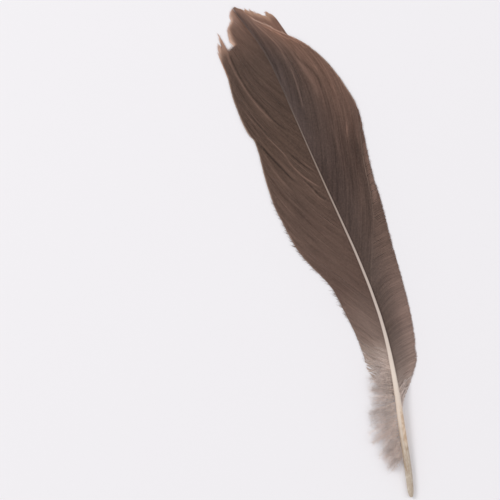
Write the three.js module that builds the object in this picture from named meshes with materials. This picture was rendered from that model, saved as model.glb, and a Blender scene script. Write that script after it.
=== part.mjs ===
// A goose quill feather lying loose on a surface, upper side up.
// Millimetres, +Z up. The quill points along -Y and the tip along +Y. The shaft is
// a tapered, curved sweep. Each vane is a thin cambered sheet that droops from the
// shaft to the surface, and its margin lies flat there.
import * as THREE from 'three';

// ---------------------------------------------------------------- dimensions
const LENGTH = 180;          // quill end to tip, straight line
const ARCH = 5.1;            // highest point of the shaft's centre line
const QUILL_WIDTH = 2.45;    // bare quill, widest
const VANE_THICK = 0.5;      // vane sheet
const EDGE_TOP = 0.45;       // top of the vane where its margin lies on the surface
const EDGE_FLAT = 3.0;       // width of the margin that lies flat
const CAMBER = 1.8;          // shape of the droop from shaft to margin
const SIDE_GAP = 0.16;       // clearance between shaft and vane
const DOWN_HEIGHT = 3.4;     // fluff beside the quill
const ORIGIN_X = 9.1;        // centre of the outline, measured from the quill end
const ORIGIN_Y = 89.8;

// Tables are [distance from the quill end along Y, value].
const SHAFT_X = [[-2, -0.45], [0, 0], [9.3, 2.2], [23.1, 4.95], [36.7, 7.75], [50.6, 10.0], [57.7, 10.75],
  [64.9, 11.15], [72.3, 11.2], [79.6, 11.0], [87.1, 10.65], [94.6, 10.1], [102.2, 9.5], [109.7, 8.9],
  [117.3, 8.35], [124.8, 7.85], [132.3, 7.4], [140, 6.95], [146.2, 6.6], [152, 6.2], [157.9, 5.6],
  [161.8, 4.95], [166.8, 3.8], [172.6, 2.1], [177.6, 0.5], [181, -0.6]];
const SHAFT_Z = [[0, 1.12], [5, 1.15], [8, 1.24], [14, 1.58], [25, 2.35], [40, 3.35], [60, 4.45], [80, 5.0],
  [98, ARCH], [118, 4.75], [138, 3.8], [154, 2.65], [166, 1.65], [174, 0.95], [178, 0.6], [182, 0.5]];
const SHAFT_W = [[0, 0.9], [1.2, 1.75], [4, 2.25], [10, QUILL_WIDTH], [20, QUILL_WIDTH], [27, 2.3], [34, 2.0],
  [42, 1.72], [52, 1.4], [68.6, 1.06], [87, 0.92], [106, 0.74], [125, 0.6], [146, 0.46], [165, 0.38], [177.6, 0.32]];
const SHAFT_H = [[0, 0.9], [1.2, 1.75], [4, 2.25], [10, QUILL_WIDTH], [20, QUILL_WIDTH], [27, 2.35], [34, 2.2],
  [42, 2.0], [52, 1.75], [68.6, 1.45], [87, 1.25], [106, 1.0], [125, 0.8], [146, 0.6], [165, 0.45], [177.6, 0.34]];

// Margins: x against distance from the quill end.
const INNER_EDGE = [[30, 8.0], [34.7, 7.0], [36.2, 6.0], [39.4, 4.3], [42.8, 2.9], [46.3, 2.4], [53, 1.95], [60, 1.2],
  [68.4, 0.3], [76, -0.7], [79.4, -1.7], [82.7, -3.1], [85.8, -4.7], [88.9, -6.0], [92.5, -7.3], [95.7, -8.1],
  [99.5, -8.7], [103.6, -9.2], [107.3, -9.7], [110.6, -10.1], [117.7, -9.95], [124.5, -9.4], [130.1, -8.75],
  [136.2, -9.3], [139.5, -9.95], [143, -10.3], [148, -10.6], [153, -10.5], [158, -9.95], [164.5, -10.4],
  [167.6, -9.9], [170, -8.8], [172.7, -7.2], [175, -4.8], [177, -3.1], [179, -1.7], [180, -0.6]];
const OUTER_EDGE = [[28, 8.4], [33, 9.2], [35, 11], [38.1, 13.9], [41, 16], [44, 18], [47.3, 19], [54, 20.6],
  [60.9, 21.8], [68, 22.6], [78.7, 23.4], [89.4, 24.4], [100, 25.4], [107.4, 25.7], [114.4, 26.4], [121.3, 27.4],
  [128.3, 28.4], [131.9, 28.8], [135.7, 28.4], [139.6, 27.6], [143.6, 26.8], [147.8, 25.4], [152, 23.9],
  [155.2, 22.3], [158, 20.5], [161, 18.4], [163, 16.3], [165.8, 14.5], [170.7, 12.9], [173.3, 11.8], [175, 10.0],
  [176.6, 6.3], [177.7, 4.2], [178.7, 2.4], [180, 0.6]];

// Rows across a vane: [root on the shaft, margin x, margin y]. They slant towards the
// tip, as barbs do. The inner margin is split near the tip, and the outer one has a tooth.
const INNER_ROWS = [[39, 2.75, 43.4], [45, 2.05, 51], [51, 1.4, 58.5], [57, 0.55, 66], [63, -0.35, 73.5], [69, -1.9, 80],
  [75, -5.0, 86.5], [80, -7.3, 92.5], [85, -8.6, 99], [91, -9.5, 106], [97, -10.05, 113], [103, -9.75, 120],
  [109, -9.05, 127], [115, -9.05, 134.5], [121, -10.1, 141], [127, -10.6, 148], [132, -10.4, 154], [137, -9.9, 160],
  [142, -10.3, 165], [146, -9.4, 169.2], [149, -7.3, 172.7], [152, -4.05, 167.6], [156, -4.7, 171.5],
  [160, -4.3, 174.3], [164, -2.9, 175.9], [168, -2.1, 178.0], [172, -1.4, 179.4], [176, -0.65, 179.9]];
const OUTER_ROWS = [[36.5, 14.0, 39.0], [40, 17.6, 43.4], [45, 19.6, 50], [50, 20.9, 56], [56, 22.0, 63], [62, 22.7, 70],
  [68, 23.2, 77], [74, 23.8, 84], [80, 24.6, 91], [86, 25.3, 98], [92, 25.6, 105], [98, 26.2, 112], [104, 27.1, 119],
  [109, 28.1, 125.5], [113, 28.8, 131.5], [117, 28.1, 137.5], [121, 27.0, 142.6], [125, 25.4, 147.8],
  [129, 23.4, 153.0], [133, 20.6, 157.9], [137, 17.6, 161.7], [141, 15.1, 164.6], [146, 13.7, 168.2],
  [151, 12.7, 171.4], [156, 10.9, 174.7], [160, 8.6, 174.0], [164, 6.6, 175.9], [168, 4.6, 177.2],
  [172, 2.6, 178.5], [176, 0.8, 179.8]];
const ACROSS = [0, 0.12, 0.26, 0.41, 0.56, 0.71, 0.86, 1];   // stations along a row

// ---------------------------------------------------------------- curves
// Monotone cubic through a table.
function curve(table) {
  const n = table.length;
  const h = [], slope = [], m = new Array(n);
  for (let i = 0; i < n - 1; i++) {
    h.push(table[i + 1][0] - table[i][0]);
    slope.push((table[i + 1][1] - table[i][1]) / h[i]);
  }
  m[0] = slope[0];
  m[n - 1] = slope[n - 2];
  for (let i = 1; i < n - 1; i++) {
    if (slope[i - 1] * slope[i] <= 0) m[i] = 0;
    else {
      const a = 2 * h[i] + h[i - 1], b = h[i] + 2 * h[i - 1];
      m[i] = (a + b) / (a / slope[i - 1] + b / slope[i]);
    }
  }
  return (v) => {
    const x = Math.min(Math.max(v, table[0][0]), table[n - 1][0]);
    let i = 0;
    while (i < n - 2 && x > table[i + 1][0]) i++;
    const t = (x - table[i][0]) / h[i];
    return (1 + 2 * t) * (1 - t) ** 2 * table[i][1] + t * (1 - t) ** 2 * h[i] * m[i]
      + t * t * (3 - 2 * t) * table[i + 1][1] + t * t * (t - 1) * h[i] * m[i + 1];
  };
}
const shaftX = curve(SHAFT_X), shaftZ = curve(SHAFT_Z), shaftW = curve(SHAFT_W), shaftH = curve(SHAFT_H);
const innerEdge = curve(INNER_EDGE), outerEdge = curve(OUTER_EDGE);
const heading = (y) => Math.atan2(shaftX(y + 0.8) - shaftX(y - 0.8), 1.6);   // from +Y towards +X

// Top of the vane: level with the shaft's side at the root, down to the surface at the margin.
function vaneTop(x, y, side) {
  const root = shaftX(y);
  const width = Math.abs((side < 0 ? innerEdge(y) : outerEdge(y)) - root);
  const run = Math.max(width - EDGE_FLAT, 0.45 * width, 0.4);
  const q = Math.min(Math.abs(x - root) / run, 1);
  const attach = Math.max(shaftZ(y) + 0.1 * shaftH(y), EDGE_TOP);
  return EDGE_TOP + (attach - EDGE_TOP) * (1 - q ** CAMBER);
}

// ---------------------------------------------------------------- closed meshes
function solid(points, faces, name, colour, roughness) {
  const geometry = new THREE.BufferGeometry();
  geometry.setAttribute('position', new THREE.Float32BufferAttribute(points.flat(), 3));
  geometry.setIndex(faces.flat());
  geometry.computeVertexNormals();
  const mesh = new THREE.Mesh(geometry, new THREE.MeshStandardMaterial({ color: colour, roughness, metalness: 0 }));
  mesh.name = name;
  return mesh;
}

// Shaft: rings of 12 sides along the curved centre line, closed at both ends. The ring
// is a little squared, as a rachis is.
function shaftMesh() {
  const SIDES = 12;
  const stations = [0, 0.5, 1.2, 2.4, 4, 7];
  for (let y = 11; y < 177.6; y += 3.9) stations.push(y);
  stations.push(177.6);
  const points = [], faces = [];
  for (const y of stations) {
    const a = heading(y);
    const across = new THREE.Vector3(Math.cos(a), -Math.sin(a), 0);
    const w = shaftW(y) / 2, h = shaftH(y) / 2;
    const square = 1 - 0.35 * THREE.MathUtils.smoothstep(y, 24, 50);     // 1 is an ellipse
    for (let k = 0; k < SIDES; k++) {
      const u = (k + 0.5) / SIDES * 2 * Math.PI;
      const c = Math.sign(Math.cos(u)) * Math.abs(Math.cos(u)) ** (0.6 + 0.4 * square) * w;
      const s = Math.sign(Math.sin(u)) * Math.abs(Math.sin(u)) ** (0.6 + 0.4 * square) * h;
      points.push([shaftX(y) + across.x * c, y + across.y * c, shaftZ(y) + s]);
    }
  }
  const rings = stations.length;
  for (let i = 0; i < rings - 1; i++) {
    for (let k = 0; k < SIDES; k++) {
      const a = i * SIDES + k, b = i * SIDES + (k + 1) % SIDES;
      faces.push([a, a + SIDES, b], [b, a + SIDES, b + SIDES]);
    }
  }
  const first = points.length;
  points.push([shaftX(-0.35), -0.35, shaftZ(0)]);
  points.push([shaftX(177.9), 177.9, shaftZ(177.6)]);
  for (let k = 0; k < SIDES; k++) {
    const n = (k + 1) % SIDES;
    faces.push([first, k, n]);
    faces.push([first + 1, (rings - 1) * SIDES + n, (rings - 1) * SIDES + k]);
  }
  return solid(points, faces, 'quill_shaft', 0xe6d8c8, 0.45);
}

// A station on a row: from the side of the shaft to the margin.
function rowPoint(row, side, t) {
  const [y0, ex, ey] = row;
  const a = heading(y0);
  const off = shaftW(y0) / 2 + SIDE_GAP;
  const x0 = shaftX(y0) + side * off * Math.cos(a), yy0 = y0 - side * off * Math.sin(a);
  return [x0 + (ex - x0) * t, yy0 + (ey - yy0) * t];
}

function vaneMesh(rows, side, name, colour) {
  const cols = ACROSS.length;
  const points = [], faces = [];
  for (const level of ['top', 'bottom']) {
    for (const row of rows) {
      for (const t of ACROSS) {
        const [x, y] = rowPoint(row, side, t);
        const z = vaneTop(x, y, side);
        points.push([x, y, level === 'top' ? z : Math.max(z - VANE_THICK, 0)]);
      }
    }
  }
  const under = rows.length * cols;
  const quad = (a, b, c, d) => {
    if (side < 0) faces.push([a, c, b], [a, d, c]);
    else faces.push([a, b, c], [a, c, d]);
  };
  for (let i = 0; i < rows.length - 1; i++) {
    for (let j = 0; j < cols - 1; j++) {
      const a = i * cols + j;
      quad(a, a + 1, a + cols + 1, a + cols);
      quad(under + a, under + a + cols, under + a + cols + 1, under + a + 1);
    }
    const r = i * cols, q = r + cols, e = r + cols - 1, f = q + cols - 1;
    quad(r, q, under + q, under + r);
    quad(e, under + e, under + f, f);
  }
  const last = (rows.length - 1) * cols;
  for (let j = 0; j < cols - 1; j++) {
    quad(j, under + j, under + j + 1, j + 1);
    quad(last + j, last + j + 1, under + last + j + 1, under + last + j);
  }
  return solid(points, faces, name, colour, 0.75);
}

// A tuft of down: a low dome over an outline, flat where it lies on the surface.
function tuftMesh(outline, centre, height, name, colour) {
  const rings = [[0.0, 1], [0.45, 1.0], [0.8, 0.72], [1.0, 0.34]];   // height share, outline share
  const points = [], faces = [];
  const n = outline.length;
  for (const [up, out] of rings) {
    for (const [x, y] of outline) {
      points.push([centre[0] + (x - centre[0]) * out, centre[1] + (y - centre[1]) * out, height * up]);
    }
  }
  const ring = rings.length;
  for (let r = 0; r < ring - 1; r++) {
    for (let k = 0; k < n; k++) {
      const a = r * n + k, b = r * n + (k + 1) % n;
      faces.push([a, b, b + n], [a, b + n, a + n]);
    }
  }
  const bottom = points.length;
  points.push([centre[0], centre[1], 0], [centre[0], centre[1], height]);
  for (let k = 0; k < n; k++) {
    const m = (k + 1) % n;
    faces.push([bottom, m, k]);
    faces.push([bottom + 1, (ring - 1) * n + k, (ring - 1) * n + m]);
  }
  return solid(points, faces, name, colour, 0.9);
}

// Outlines of the two tufts, counter-clockwise. Their inner side follows the shaft.
function besideShaft(side, y, gap) {
  return [shaftX(y) + side * (shaftW(y) / 2 + gap), y];
}
const INNER_TUFT = [besideShaft(-1, 15, 0.5), besideShaft(-1, 21, 0.5), besideShaft(-1, 27, 0.5), besideShaft(-1, 32, 0.5),
  besideShaft(-1, 37.2, 0.6), [4.4, 40.6], [2.2, 43.2], [-0.6, 44.6], [-3.4, 43.4], [-5.4, 39.6], [-6.3, 34.6], [-6.3, 29.4],
  [-5.8, 24.0], [-4.6, 19.0], [-2.4, 15.4], [0.2, 13.6]];
const OUTER_TUFT = [[9.8, 29.6], [12.0, 31.8], [13.8, 34.6], [14.4, 37.6], [12.0, 37.2], besideShaft(1, 35.2, 0.9),
  besideShaft(1, 32.5, 0.5), besideShaft(1, 29, 0.5)];

const feather = new THREE.Group();
feather.add(shaftMesh());
feather.add(vaneMesh(INNER_ROWS, -1, 'inner_vane', 0x5c4a43));
feather.add(vaneMesh(OUTER_ROWS, 1, 'outer_vane', 0x554640));
feather.add(tuftMesh(INNER_TUFT, [0.2, 29.5], DOWN_HEIGHT, 'inner_down_tuft', 0xb7aca8));
feather.add(tuftMesh(OUTER_TUFT, [11.2, 34.0], DOWN_HEIGHT * 0.6, 'outer_down_tuft', 0xa79b97));
feather.position.set(-ORIGIN_X, -ORIGIN_Y, 0);
feather.scale.setScalar(LENGTH / 180);

export default feather;
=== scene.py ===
"""Looks of the goose quill feather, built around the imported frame. The scene is in metres in the
row frame. The tables are in millimetres from the quill end, as in the CAD part."""

import math

import bpy
import numpy as np
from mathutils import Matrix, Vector


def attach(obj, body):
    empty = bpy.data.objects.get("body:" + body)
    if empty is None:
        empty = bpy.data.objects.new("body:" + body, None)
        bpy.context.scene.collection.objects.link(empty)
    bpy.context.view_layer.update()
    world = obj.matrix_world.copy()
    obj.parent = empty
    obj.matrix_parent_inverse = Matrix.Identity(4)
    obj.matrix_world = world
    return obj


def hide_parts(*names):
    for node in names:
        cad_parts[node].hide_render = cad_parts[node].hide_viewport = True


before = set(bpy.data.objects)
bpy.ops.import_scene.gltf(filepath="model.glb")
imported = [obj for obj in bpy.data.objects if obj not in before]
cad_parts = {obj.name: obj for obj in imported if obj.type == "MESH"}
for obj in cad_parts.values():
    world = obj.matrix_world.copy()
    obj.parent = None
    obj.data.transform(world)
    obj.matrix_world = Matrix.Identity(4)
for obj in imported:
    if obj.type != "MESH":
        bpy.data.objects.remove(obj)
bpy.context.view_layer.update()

MM = 0.001
ORIGIN = np.array([9.1, 89.8, 0.0])      # from the quill end to the row's origin, mm


# ------------------------------------------------------------------ tables and curves
class Curve:
    """Monotone cubic through a table of [position, value]."""

    def __init__(self, table):
        t = np.array(table, float)
        self.x, self.y = t[:, 0], t[:, 1]
        h = np.diff(self.x)
        d = np.diff(self.y) / h
        m = np.zeros(len(self.x))
        m[0], m[-1] = d[0], d[-1]
        for i in range(1, len(m) - 1):
            if d[i - 1] * d[i] > 0:
                a, b = 2 * h[i] + h[i - 1], h[i] + 2 * h[i - 1]
                m[i] = (a + b) / (a / d[i - 1] + b / d[i])
        self.h, self.m = h, m

    def __call__(self, v):
        v = np.clip(np.asarray(v, float), self.x[0], self.x[-1])
        i = np.clip(np.searchsorted(self.x, v, side="right") - 1, 0, len(self.x) - 2)
        h = self.h[i]
        t = (v - self.x[i]) / h
        return (
            (1 + 2 * t) * (1 - t) ** 2 * self.y[i]
            + t * (1 - t) ** 2 * h * self.m[i]
            + t * t * (3 - 2 * t) * self.y[i + 1]
            + t * t * (t - 1) * h * self.m[i + 1]
        )


shaft_x = Curve([[-2, -0.45], [0, 0], [9.3, 2.2], [23.1, 4.95], [36.7, 7.75], [50.6, 10.0], [57.7, 10.75],
                 [64.9, 11.15], [72.3, 11.2], [79.6, 11.0], [87.1, 10.65], [94.6, 10.1], [102.2, 9.5],
                 [109.7, 8.9], [117.3, 8.35], [124.8, 7.85], [132.3, 7.4], [140, 6.95], [146.2, 6.6],
                 [152, 6.2], [157.9, 5.6], [161.8, 4.95], [166.8, 3.8], [172.6, 2.1], [177.6, 0.5], [181, -0.6]])
shaft_z = Curve([[0, 1.12], [5, 1.15], [8, 1.24], [14, 1.58], [25, 2.35], [40, 3.35], [60, 4.45], [80, 5.0],
                 [98, 5.1], [118, 4.75], [138, 3.8], [154, 2.65], [166, 1.65], [174, 0.95], [178, 0.6], [182, 0.5]])
shaft_w = Curve([[0, 0.9], [1.2, 1.75], [4, 2.25], [10, 2.45], [20, 2.45], [27, 2.3], [34, 2.0], [42, 1.72],
                 [52, 1.4], [68.6, 1.06], [87, 0.92], [106, 0.74], [125, 0.6], [146, 0.46], [165, 0.38], [177.6, 0.32]])
shaft_h = Curve([[0, 0.9], [1.2, 1.75], [4, 2.25], [10, 2.45], [20, 2.45], [27, 2.35], [34, 2.2], [42, 2.0],
                 [52, 1.75], [68.6, 1.45], [87, 1.25], [106, 1.0], [125, 0.8], [146, 0.6], [165, 0.45], [177.6, 0.34]])
# Margins of the two vanes. The split lobe and the tooth near the tip are made barb by barb.
EDGE = {
    -1: Curve([[30, 8.0], [34.7, 7.0], [36.2, 6.0], [39.4, 4.3], [42.8, 2.9], [46.3, 2.4], [53, 1.95], [60, 1.2],
               [68.4, 0.3], [76, -0.7], [79.4, -1.7], [82.7, -3.1], [85.8, -4.7], [88.9, -6.0], [92.5, -7.3],
               [95.7, -8.1], [99.5, -8.7], [103.6, -9.2], [107.3, -9.7], [110.6, -10.05], [117.7, -9.95],
               [124.5, -9.4], [130.1, -8.85], [134.2, -8.75], [136.2, -9.7], [139.5, -10.3], [143, -10.6], [148, -10.75],
               [153, -10.5], [158, -9.95], [164.5, -10.2], [167.6, -9.95], [170, -9.1], [172.9, -7.3],
               [175, -4.6], [177, -2.7], [179, -1.6], [180.2, -0.5]]),
    1: Curve([[28, 8.4], [33, 9.2], [35, 11], [38.1, 13.9], [41, 16], [44, 18], [47.3, 19], [54, 20.6], [60.9, 21.8],
              [68, 22.6], [78.7, 23.4], [89.4, 24.4], [100, 25.4], [107.4, 25.7], [114.4, 26.4], [121.3, 27.4],
              [128.3, 28.4], [131.9, 28.75], [135.7, 28.4], [139.6, 27.6], [143.6, 26.7], [147.8, 25.4],
              [152, 23.8], [155.2, 22.2], [158, 20.4], [161, 18.2], [163, 16.2], [165.2, 14.0], [168.7, 11.3],
              [171.8, 9.3], [174.4, 7.8], [176.2, 5.9], [177.4, 4.1], [178.7, 2.3], [180.2, 0.5]]),
}


def lobe_edge(y):
    """Left side of the main lobe beside the split."""
    return np.interp(y, [166.2, 166.9, 167.4, 169.8, 172.0, 173.6, 174.5, 175.8, 176.9, 177.8, 178.9, 179.6, 180.3],
                     [-12, -6.4, -4.4, -4.8, -4.8, -4.5, -3.8, -2.4, -2.1, -2.25, -1.6, -0.8, 0.5])


# The outer vane is parted along this line. The barbs above it lap over those that run out below it.
PARTING = np.array([(11.9, 72.5), (13.0, 76.5), (13.74, 78.56), (16.75, 84.8), (19.3, 90.5), (20.9, 94.2), (21.6, 97.7),
                    (22.3, 101.2), (23.0, 104.5), (23.5, 108.0), (23.95, 111.6), (24.5, 115.3), (25.4, 119.0),
                    (26.6, 123.5), (27.5, 127.0), (27.9, 128.6)])
# Upper margin of the outer vane's top layer, inside the outline.
CREST = np.array([(16.2, 163.0), (14.1, 165.1), (11.1, 167.9), (8.8, 170.4), (5.6, 173.5), (4.1, 176.0), (2.8, 178.0), (2.1, 178.85),
                  (0.5, 180.2)])


def margin_of(y, layer):
    """Where the barbs of one layer end, across the feather."""
    y = np.asarray(y, float)
    if layer == "strip":
        return EDGE[-1](y)
    if layer == "lobe":
        return np.maximum(EDGE[-1](y), np.where(y > 166.2, lobe_edge(y), -99.0))
    x = EDGE[1](y)
    if layer == "upper":
        x = np.where(y < 128.6, np.interp(y, PARTING[:, 1], PARTING[:, 0]), x)
        x = np.where(y > 163.0, np.interp(y, CREST[:, 1], CREST[:, 0]), x)
    return x


# Barb headings in degrees from +Y towards +X, at four shares of the way from shaft to margin.
SHARES = np.array([0.0, 0.35, 0.7, 1.0])
INNER_FIELD = [(30, -64, -60, -58, -55), (36, -60, -56, -53, -50), (45, -52, -47, -44, -42), (55, -42, -38, -34, -32),
               (65, -38, -34, -31, -29), (75, -36, -33, -31, -31), (85, -36, -33, -32, -35), (95, -37, -32, -28, -29),
               (105, -37, -30, -24, -21), (115, -36, -29, -22, -15), (128, -34, -29, -22, -13), (140, -34, -28, -18, -14),
               (150, -34, -27, -15, -9), (160, -33, -25, -8, -5), (167, -31, -24, -8, -6), (173, -27, -22, -14, -12),
               (180, -20, -18, -14, -14)]
UPPER_FIELD = [(68, 24, 24, 24, 24), (78, 25, 25, 25, 25), (88, 25, 24, 23, 23), (95, 24, 23, 22, 22),
               (100, 23, 21, 18, 17), (108, 22, 18, 12, 10), (115, 20, 16, 13, 13), (128, 17, 13, 12, 13),
               (136, 15, 9, 5, 1), (144, 12, 3, 0, -4), (150, 8, -3, -11, -10), (157, 3, -9, -20, -21),
               (163, -2, -19, -27, -31), (170, -8, -21, -28, -32), (180, -15, -22, -28, -32)]
LOWER_FIELD = [(30, 42, 44, 46, 48), (35, 56, 58, 60, 62), (40, 70, 72, 74, 74), (45, 70, 78, 84, 84), (52, 60, 76, 86, 88),
               (60, 50, 68, 84, 88), (68, 42, 64, 84, 88), (76, 38, 62, 84, 88), (130, 38, 62, 84, 88)]
EDGE_TOP, EDGE_FLAT, CAMBER = 0.30, 3.0, 1.8     # where the vane's barbs lie at the margin


def slope_heading(y):
    """Heading of the shaft from +Y, in radians."""
    return np.arctan2(shaft_x(y + 0.8) - shaft_x(y - 0.8), 1.6)


def share(x, y, side):
    root = shaft_x(y)
    span = EDGE[side](y) - root
    span = np.where(np.abs(span) < 0.25, 0.25 * side, span)
    return (x - root) / span


def profile(q):
    """Height of the vane from 1 at the shaft to 0 near the margin, rounded where it meets the table."""
    q = np.abs(q)
    start = 0.72
    value, slope = 1 - start**CAMBER, CAMBER * start ** (CAMBER - 1)
    reach = 2 * value / slope
    tail = value * np.clip((start + reach - q) / reach, 0, 1) ** 2
    return np.where(q < start, 1 - np.minimum(q, 1.0) ** CAMBER, tail)


def vane_z(x, y, side):
    """Height of the middle of the vane sheet."""
    root = shaft_x(y)
    width = np.abs(EDGE[side](y) - root)
    run = np.maximum.reduce([width - EDGE_FLAT, 0.45 * width, np.full_like(width, 0.4)])
    top = np.maximum(shaft_z(y) + 0.1 * shaft_h(y) - 0.12, EDGE_TOP)
    return EDGE_TOP + (top - EDGE_TOP) * profile((x - root) / run)


# ------------------------------------------------------------------ mesh helpers
def make_mesh(name, verts_mm, faces, attributes=None, uv=None, smooth=True):
    """A mesh object from triangles and quads. faces is a list of index arrays (n, 3) or (n, 4)."""
    verts = (np.asarray(verts_mm, float) - ORIGIN) * MM
    mesh = bpy.data.meshes.new(name)
    mesh.vertices.add(len(verts))
    mesh.vertices.foreach_set("co", verts.astype(np.float32).ravel())
    loops = np.concatenate([f.ravel() for f in faces])
    sizes = np.concatenate([np.full(len(f), f.shape[1]) for f in faces])
    starts = np.concatenate([[0], np.cumsum(sizes)[:-1]])
    mesh.loops.add(len(loops))
    mesh.loops.foreach_set("vertex_index", loops.astype(np.int32))
    mesh.polygons.add(len(sizes))
    mesh.polygons.foreach_set("loop_start", starts.astype(np.int32))
    if uv is not None:
        layer = mesh.uv_layers.new(name="OFBake")
        layer.data.foreach_set("uv", np.concatenate([u.reshape(-1, 2) for u in uv]).astype(np.float32).ravel())
    mesh.update(calc_edges=True)
    for key, values in (attributes or {}).items():
        a = mesh.attributes.new(key, "FLOAT", "POINT")
        a.data.foreach_set("value", np.asarray(values, np.float32).ravel())
    mesh.polygons.foreach_set("use_smooth", np.full(len(mesh.polygons), smooth))
    mesh.update()
    obj = bpy.data.objects.new(name, mesh)
    bpy.context.scene.collection.objects.link(obj)
    return obj


def loft(rings, first=0, cols=1, rows=1):
    """Closed tubes from rings of shape (tubes, stations, sides, 3). Returns vertices, faces and UVs,
    with one cell of the UV square for each tube."""
    n, m, k, _ = rings.shape
    base = (np.arange(n) * m * k)[:, None, None]
    row = (np.arange(m - 1) * k)[None, :, None]
    col = np.arange(k)[None, None, :]
    a = base + row + col
    b = base + row + (col + 1) % k
    quads = np.stack([a, b, b + k, a + k], -1).reshape(-1, 4)
    index = first + np.arange(n)
    cell_u, cell_v = (index % cols)[:, None, None], ((index // cols) % rows)[:, None, None]
    shape = (n, m - 1, k)
    u0 = np.broadcast_to((cell_u + 0.08 + 0.84 * col / k) / cols, shape)
    u1 = np.broadcast_to((cell_u + 0.08 + 0.84 * (col + 1) / k) / cols, shape)
    at_row = np.arange(m - 1)[None, :, None]
    v0 = np.broadcast_to((cell_v + 0.02 + 0.96 * at_row / (m - 1)) / rows, shape)
    v1 = np.broadcast_to((cell_v + 0.02 + 0.96 * (at_row + 1) / (m - 1)) / rows, shape)
    uv = np.stack([np.stack([u0, v0], -1), np.stack([u1, v0], -1), np.stack([u1, v1], -1), np.stack([u0, v1], -1)], -2)
    caps, cap_uv = [], []
    for ring, flip in ((0, True), (m - 1, False)):
        f = (np.arange(n) * m * k)[:, None] + ring * k + np.arange(k)[None, :]
        if flip:
            f = f[:, ::-1]
        v = (index // cols % rows + 0.02 + 0.96 * ring / (m - 1)) / rows
        dv = (0.01 if flip else -0.01) / rows
        for j in range(1, k - 1):
            caps.append(np.stack([f[:, 0], f[:, j], f[:, j + 1]], -1))
            u = (index % cols + 0.3) / cols
            w = 0.4 / cols
            cap_uv.append(np.stack([np.stack([u, v], -1), np.stack([u + w, v], -1), np.stack([u + w / 2, v + dv], -1)], 1))
    return rings.reshape(-1, 3), [quads, np.concatenate(caps)], [uv.reshape(-1, 4, 2), np.concatenate(cap_uv)]


class Pile:
    """Closed tubes of several kinds, gathered into one mesh."""

    def __init__(self):
        self.kinds = []

    def add(self, rings, **attributes):
        self.kinds.append((rings, attributes))

    def build(self, name, rows=1):
        total = sum(len(r) for r, _ in self.kinds)
        cols = -(-total // rows)
        verts, quads, tris, quad_uv, tri_uv, values = [], [], [], [], [], {}
        start = done = 0
        for rings, attributes in self.kinds:
            n, m, k, _ = rings.shape
            v, f, uv = loft(rings, done, cols, rows)
            verts.append(v)
            quads.append(f[0] + start)
            tris.append(f[1] + start)
            quad_uv.append(uv[0])
            tri_uv.append(uv[1])
            for key, value in attributes.items():
                if np.ndim(value) == 3:
                    values.setdefault(key, []).append(np.broadcast_to(value, (n, m, k)).reshape(-1))
                else:
                    values.setdefault(key, []).append(np.repeat(np.broadcast_to(value, (n, m)).reshape(-1), k))
            start += len(v)
            done += n
        return make_mesh(name, np.concatenate(verts), [np.concatenate(quads), np.concatenate(tris)],
                         {key: np.concatenate(v) for key, v in values.items()},
                         [np.concatenate(quad_uv), np.concatenate(tri_uv)])


def resample(path, length, m, power=1.0):
    """Points at m stations along each path (n, steps, 2), from 0 to its length."""
    n = len(path)
    seg = np.linalg.norm(np.diff(path, axis=1), axis=2)
    s = np.concatenate([np.zeros((n, 1)), np.cumsum(seg, axis=1)], axis=1)
    t = np.linspace(0, 1, m) ** power
    out = np.zeros((n, m, 2))
    for i in range(n):
        w = t * length[i]
        out[i, :, 0] = np.interp(w, s[i], path[i, :, 0])
        out[i, :, 1] = np.interp(w, s[i], path[i, :, 1])
    return out, t


def tangents(p):
    t = np.gradient(p, axis=-2)
    return t / (np.linalg.norm(t, axis=-1, keepdims=True) + 1e-9)


def smooth_noise(n, step, seed):
    """A smooth random line of n values, about one bump each step values."""
    r = np.random.default_rng(seed)
    knots = r.normal(size=int(n / step) + 4)
    at = np.arange(n) / step
    i = at.astype(int)
    f = at - i
    f = f * f * (3 - 2 * f)
    return knots[i] * (1 - f) + knots[i + 1] * f


def near(p, line, width, fade=3.0):
    """1 on a polyline and 0 away from it, for points (..., 2), fading out at its two ends."""
    line = np.array(line, float)
    a, b = line[:-1], line[1:]
    d = b - a
    size = np.linalg.norm(d, axis=1)
    run = np.concatenate([[0], np.cumsum(size)])
    best = np.full(p.shape[:-1], 1e9)
    where = np.zeros(p.shape[:-1])
    for i in range(len(a)):
        u = np.clip(((p - a[i]) @ d[i]) / size[i] ** 2, 0, 1)
        dist = np.linalg.norm(p - (a[i] + u[..., None] * d[i]), axis=-1)
        closer = dist < best
        best = np.where(closer, dist, best)
        where = np.where(closer, run[i] + u * size[i], where)
    ends = np.clip(np.minimum(where, run[-1] - where) / fade + 0.15, 0, 1)
    return np.exp(-((best / width) ** 2)) * ends


# ------------------------------------------------------------------ vanes, barb by barb
SECTION = np.array([(-1.0, -0.35), (-0.42, 0.30), (0.0, 1.0), (0.42, 0.30), (1.0, -0.35), (0.0, -1.0)])
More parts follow.
